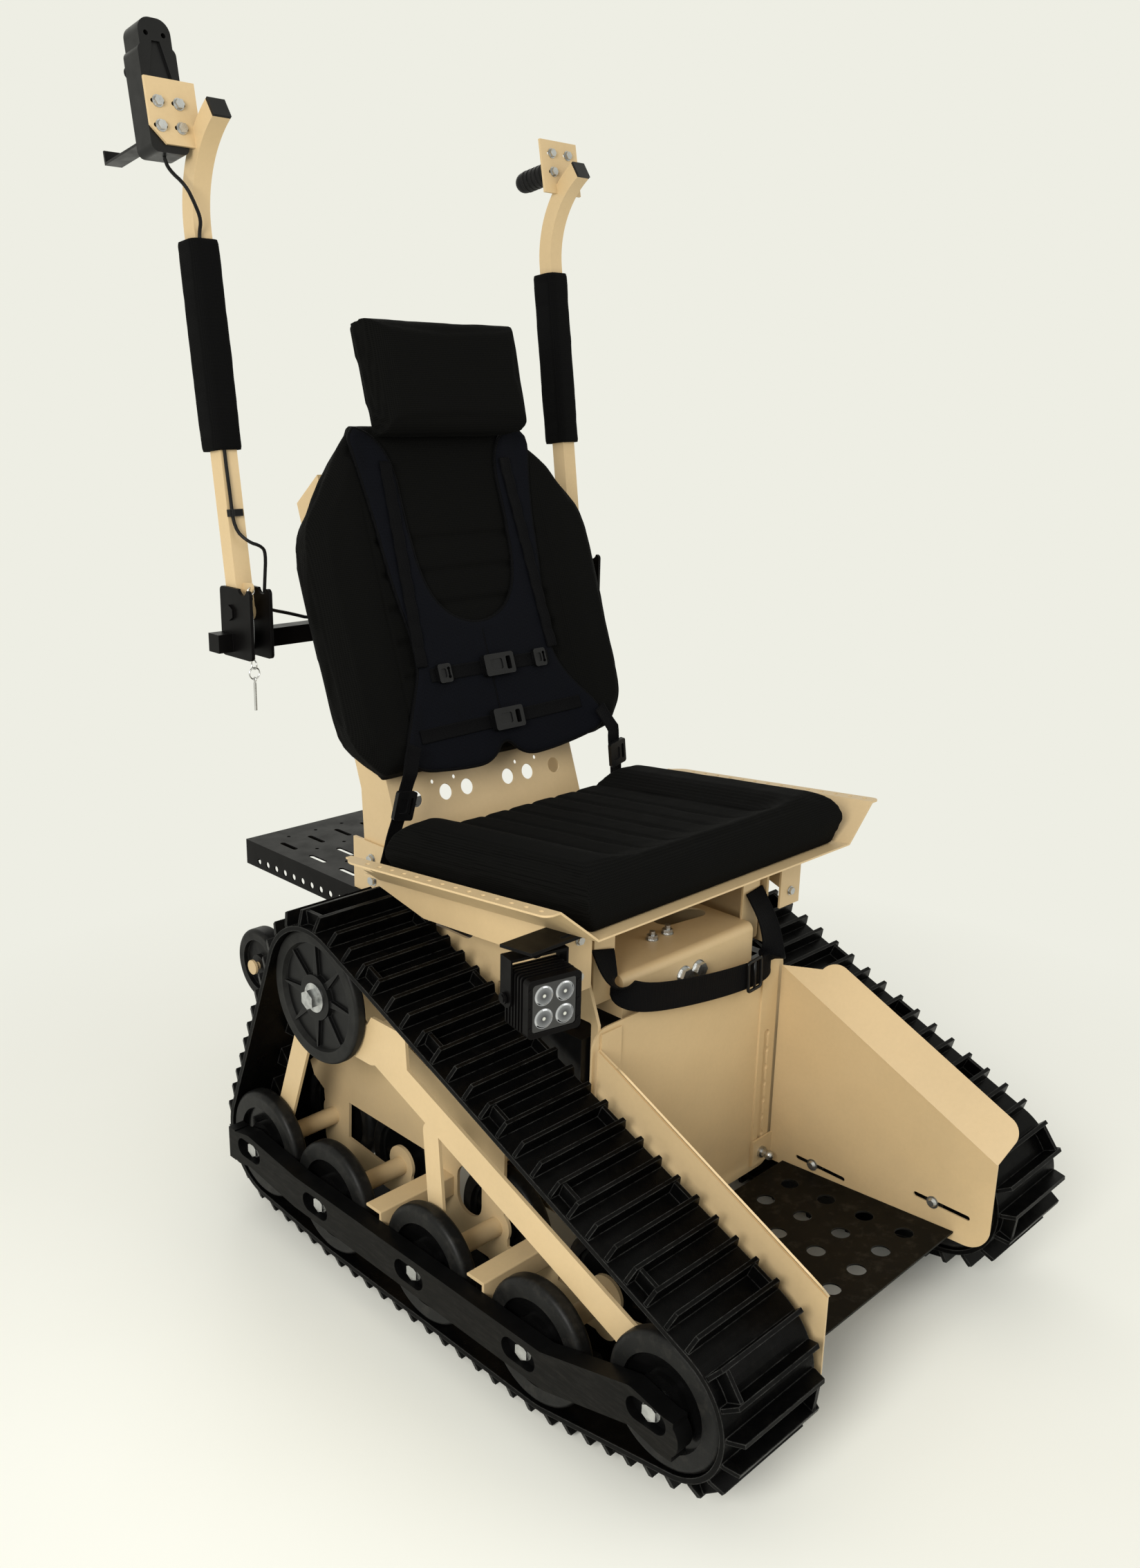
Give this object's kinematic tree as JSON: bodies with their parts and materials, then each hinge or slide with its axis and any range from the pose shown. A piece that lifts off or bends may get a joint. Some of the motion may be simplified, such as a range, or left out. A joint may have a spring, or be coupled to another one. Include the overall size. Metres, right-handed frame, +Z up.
{
  "type": "tracked wheelchair",
  "caption": "Powered tracked all-terrain wheelchair with rubber tracks on wheel trains, padded seat and back with harness, fold-up armrests, joystick, footrest, lamp and rear rack.",
  "frame": {"origin": "middle of the chair's plan box, on the ground", "axes": "+Z up, +Y to the rear, the user faces -Y, and the user's right hand is on the -X side"},
  "size_m": [0.995, 1.4864, 2.0448],
  "materials": {
    "tan_paint": "satin powder coat",
    "black_paint": "textured powder coat",
    "track_rubber": "moulded",
    "wheel_tread": "moulded, worn",
    "black_plastic": "fine grain",
    "motor_alloy": "cast, dark",
    "seat_fabric": "woven",
    "pad_foam": "foam sleeve",
    "vest_fabric": "padded cloth",
    "webbing": "woven band",
    "soft_rubber": "smooth",
    "lamp_lens": "clear",
    "bright_steel": "bright",
    "zinc_steel": "zinc plated"
  },
  "bodies": {
    "chassis": {"chassis_frame": "tan_paint", "front_box": "tan_paint", "leg_panel": "tan_paint", "seat_pan": "tan_paint", "back_frame": "tan_paint", "rear_rack": "black_paint", "seat_cushion": "seat_fabric", "back_cushion": "seat_fabric", "headrest": "seat_fabric", "harness_vest": "vest_fabric", "harness_straps": "webbing", "harness_buckles": "black_plastic", "leg_strap": "webbing", "batteries": "black_plastic", "arm_cross_bar": "black_paint", "right_track_frame": "tan_paint", "left_track_frame": "tan_paint", "guide_rails": "black_plastic", "right_belt": "track_rubber", "left_belt": "track_rubber", "axles": "zinc_steel", "gear_motors": "motor_alloy", "seat_fasteners": "zinc_steel", "light_mount": "black_paint", "cable_tail": "soft_rubber"},
    "right_drive": {"right_drive_wheel": "black_plastic"},
    "right_wheel_1": {"right_road_wheel_1": "wheel_tread"},
    "right_wheel_2": {"right_road_wheel_2": "wheel_tread"},
    "right_wheel_3": {"right_road_wheel_3": "wheel_tread"},
    "right_wheel_4": {"right_road_wheel_4": "wheel_tread"},
    "right_wheel_5": {"right_road_wheel_5": "wheel_tread"},
    "right_tip": {"right_tip_wheel": "wheel_tread"},
    "left_drive": {"left_drive_wheel": "black_plastic"},
    "left_wheel_1": {"left_road_wheel_1": "wheel_tread"},
    "left_wheel_2": {"left_road_wheel_2": "wheel_tread"},
    "left_wheel_3": {"left_road_wheel_3": "wheel_tread"},
    "left_wheel_4": {"left_road_wheel_4": "wheel_tread"},
    "left_wheel_5": {"left_road_wheel_5": "wheel_tread"},
    "left_tip": {"left_tip_wheel": "wheel_tread"},
    "right_arm": {"right_arm_tube": "tan_paint", "right_arm_pad": "pad_foam", "right_arm_cap": "black_plastic", "joystick_pod": "black_plastic", "joystick_bolts": "zinc_steel", "joystick_cable": "soft_rubber"},
    "left_arm": {"left_arm_tube": "tan_paint", "left_arm_pad": "pad_foam", "left_arm_cap": "black_plastic", "left_hand_grip": "soft_rubber", "left_grip_bolts": "zinc_steel"},
    "joystick_ring": {"joystick_gimbal": "black_plastic"},
    "joystick_stick": {"joystick_lever": "soft_rubber"},
    "lanyard": {"lanyard_wire": "bright_steel", "lanyard_pin": "bright_steel"},
    "foot_carriage": {"foot_guards": "tan_paint", "foot_fasteners": "zinc_steel"},
    "foot_plate": {"footplate": "black_paint"},
    "lamp_bracket": {"light_bracket": "black_paint"},
    "lamp_head": {"light_pod": "black_paint", "light_lens": "lamp_lens"}
  },
  "joints": [
    {"name": "right_drive_spin", "type": "hinge", "parent": "chassis", "child": "right_drive", "pos_m": [-0.366, 0.2008, 0.5043], "axis": [1, 0, 0], "continuous": true},
    {"name": "right_wheel_1_spin", "type": "hinge", "parent": "chassis", "child": "right_wheel_1", "pos_m": [-0.366, -0.6067, 0.1869], "axis": [1, 0, 0], "continuous": true},
    {"name": "right_wheel_2_spin", "type": "hinge", "parent": "chassis", "child": "right_wheel_2", "pos_m": [-0.366, -0.356, 0.1366], "axis": [1, 0, 0], "continuous": true},
    {"name": "right_wheel_3_spin", "type": "hinge", "parent": "chassis", "child": "right_wheel_3", "pos_m": [-0.366, -0.099, 0.1366], "axis": [1, 0, 0], "continuous": true},
    {"name": "right_wheel_4_spin", "type": "hinge", "parent": "chassis", "child": "right_wheel_4", "pos_m": [-0.366, 0.158, 0.1366], "axis": [1, 0, 0], "continuous": true},
    {"name": "right_wheel_5_spin", "type": "hinge", "parent": "chassis", "child": "right_wheel_5", "pos_m": [-0.366, 0.364, 0.152], "axis": [1, 0, 0], "continuous": true},
    {"name": "right_tip_spin", "type": "hinge", "parent": "chassis", "child": "right_tip", "pos_m": [-0.264, 0.6493, 0.362], "axis": [1, 0, 0], "continuous": true},
    {"name": "left_drive_spin", "type": "hinge", "parent": "chassis", "child": "left_drive", "pos_m": [0.366, 0.2008, 0.5043], "axis": [1, 0, 0], "continuous": true},
    {"name": "left_wheel_1_spin", "type": "hinge", "parent": "chassis", "child": "left_wheel_1", "pos_m": [0.366, -0.6067, 0.1869], "axis": [1, 0, 0], "continuous": true},
    {"name": "left_wheel_2_spin", "type": "hinge", "parent": "chassis", "child": "left_wheel_2", "pos_m": [0.366, -0.356, 0.1366], "axis": [1, 0, 0], "continuous": true},
    {"name": "left_wheel_3_spin", "type": "hinge", "parent": "chassis", "child": "left_wheel_3", "pos_m": [0.366, -0.099, 0.1366], "axis": [1, 0, 0], "continuous": true},
    {"name": "left_wheel_4_spin", "type": "hinge", "parent": "chassis", "child": "left_wheel_4", "pos_m": [0.366, 0.158, 0.1366], "axis": [1, 0, 0], "continuous": true},
    {"name": "left_wheel_5_spin", "type": "hinge", "parent": "chassis", "child": "left_wheel_5", "pos_m": [0.366, 0.364, 0.152], "axis": [1, 0, 0], "continuous": true},
    {"name": "left_tip_spin", "type": "hinge", "parent": "chassis", "child": "left_tip", "pos_m": [0.264, 0.6493, 0.362], "axis": [1, 0, 0], "continuous": true},
    {"name": "right_arm_fold", "type": "hinge", "parent": "chassis", "child": "right_arm", "pos_m": [-0.4045, 0.4553, 1.126], "axis": [1, 0, 0], "range_deg": [0, 97.7]},
    {"name": "left_arm_fold", "type": "hinge", "parent": "chassis", "child": "left_arm", "pos_m": [0.4045, 0.4553, 1.126], "axis": [1, 0, 0], "range_deg": [0, 97.7]},
    {"name": "joystick_side", "type": "hinge", "parent": "right_arm", "child": "joystick_ring", "pos_m": [-0.4625, 0.57676, 1.98476], "axis": [0, 0.1857, 0.9826], "range_deg": [-18, 18], "stiffness_Nm_per_rad": 0.3},
    {"name": "joystick_fore", "type": "hinge", "parent": "joystick_ring", "child": "joystick_stick", "pos_m": [-0.4625, 0.57676, 1.98476], "axis": [1, 0, 0], "range_deg": [-18, 18], "stiffness_Nm_per_rad": 0.3},
    {"name": "lanyard_swing", "type": "hinge", "parent": "right_arm", "child": "lanyard", "pos_m": [-0.4045, 0.42498, 1.17046], "axis": [1, 0, 0], "range_deg": [-98, 1]},
    {"name": "footrest_height", "type": "slide", "parent": "chassis", "child": "foot_carriage", "axis": [0, 0, 1], "range_m": [0, 0.138]},
    {"name": "footplate_reach", "type": "slide", "parent": "foot_carriage", "child": "foot_plate", "axis": [0, 1, 0], "range_m": [-0.058, 0.028]},
    {"name": "lamp_turn", "type": "hinge", "parent": "chassis", "child": "lamp_bracket", "pos_m": [-0.378, -0.2547, 0.7], "axis": [0, 0, 1], "range_deg": [-30, 30]},
    {"name": "lamp_tilt", "type": "hinge", "parent": "lamp_bracket", "child": "lamp_head", "pos_m": [-0.378, -0.2547, 0.652], "axis": [0.9781, -0.2079, 0], "range_deg": [-20, 20]}
  ],
  "couplings": [
    {"joint": "right_wheel_1_spin", "follows": "right_drive_spin", "ratio": 1.1703},
    {"joint": "right_wheel_2_spin", "follows": "right_drive_spin", "ratio": 1.1703},
    {"joint": "right_wheel_3_spin", "follows": "right_drive_spin", "ratio": 1.1703},
    {"joint": "right_wheel_4_spin", "follows": "right_drive_spin", "ratio": 1.1703},
    {"joint": "right_wheel_5_spin", "follows": "right_drive_spin", "ratio": 1.1703},
    {"joint": "left_wheel_1_spin", "follows": "left_drive_spin", "ratio": 1.1703},
    {"joint": "left_wheel_2_spin", "follows": "left_drive_spin", "ratio": 1.1703},
    {"joint": "left_wheel_3_spin", "follows": "left_drive_spin", "ratio": 1.1703},
    {"joint": "left_wheel_4_spin", "follows": "left_drive_spin", "ratio": 1.1703},
    {"joint": "left_wheel_5_spin", "follows": "left_drive_spin", "ratio": 1.1703},
    {"joint": "lanyard_swing", "follows": "right_arm_fold", "ratio": -1}
  ]
}
